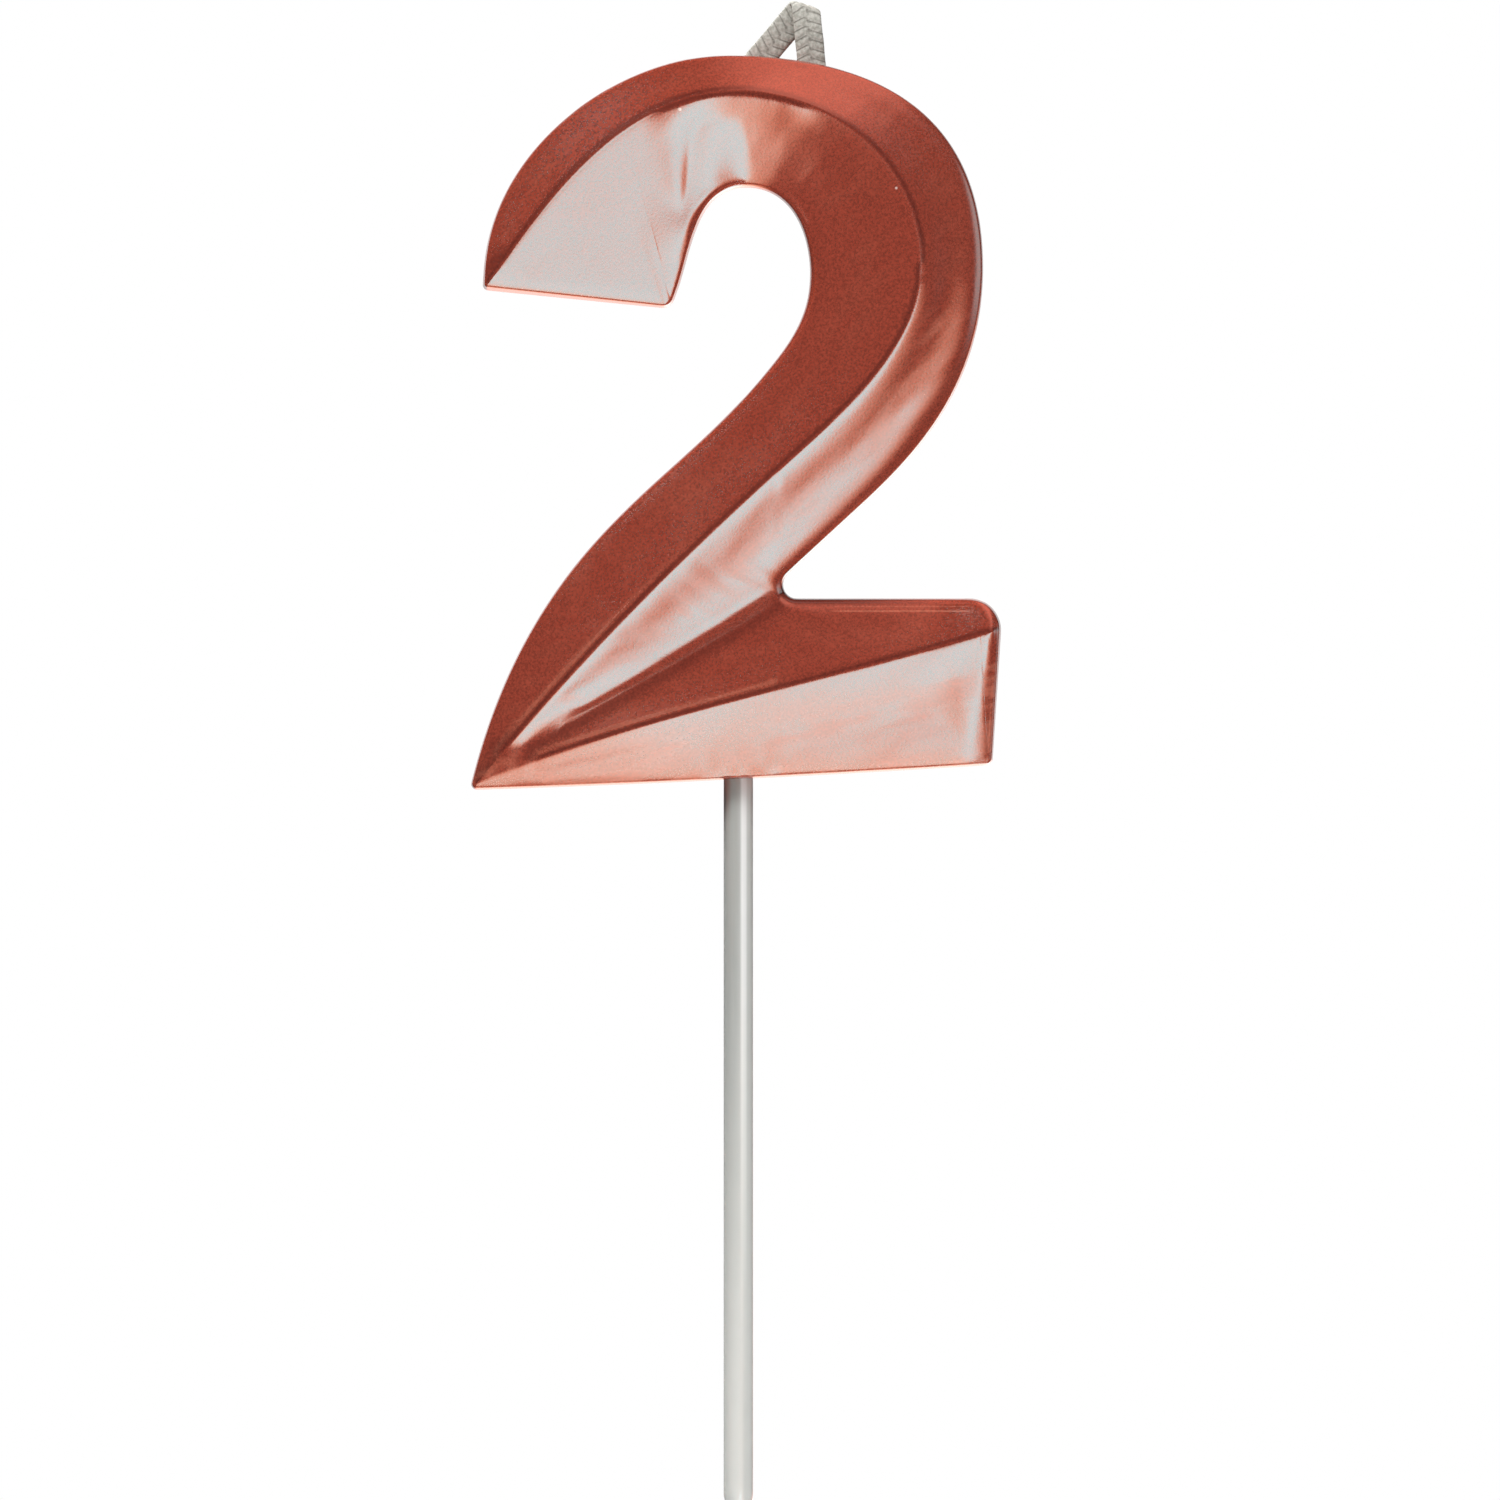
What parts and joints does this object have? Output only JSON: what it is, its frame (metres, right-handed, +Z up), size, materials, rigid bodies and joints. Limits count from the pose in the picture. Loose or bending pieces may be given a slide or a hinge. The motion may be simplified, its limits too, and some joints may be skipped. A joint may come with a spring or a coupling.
{
  "type": "numeral candle",
  "caption": "Cake candle in the shape of a numeral 2, with bevelled facets in metallic copper, a folded braided wick and a clear plastic pick.",
  "frame": {"origin": "on the pick's axis, at the point where the pick enters the cake", "axes": "+Z up along the pick, +X to the right as the numeral is read, -Y out of the numeral's front face"},
  "size_m": [0.0541, 0.012, 0.1592],
  "materials": {
    "copper_wax": "satin metallic copper lacquer on moulded wax",
    "wick_cotton": "braided cotton primed with wax",
    "clear_plastic": "gloss, cloudy clear"
  },
  "bodies": {
    "pick": {"pick": "clear_plastic"},
    "candle": {"wax_numeral": "copper_wax", "wick_stem": "wick_cotton"},
    "wick_end": {"wick_tail": "wick_cotton"}
  },
  "joints": [
    {"name": "pick_pull_off", "type": "slide", "parent": "pick", "child": "candle", "axis": [0, 0, 1], "range_m": [0, 0.022]},
    {"name": "wick_fold", "type": "hinge", "parent": "candle", "child": "wick_end", "pos_m": [0.00688, 0.00055, 0.09892], "axis": [0.9548, 0, -0.2974], "range_deg": [0, 165]}
  ]
}
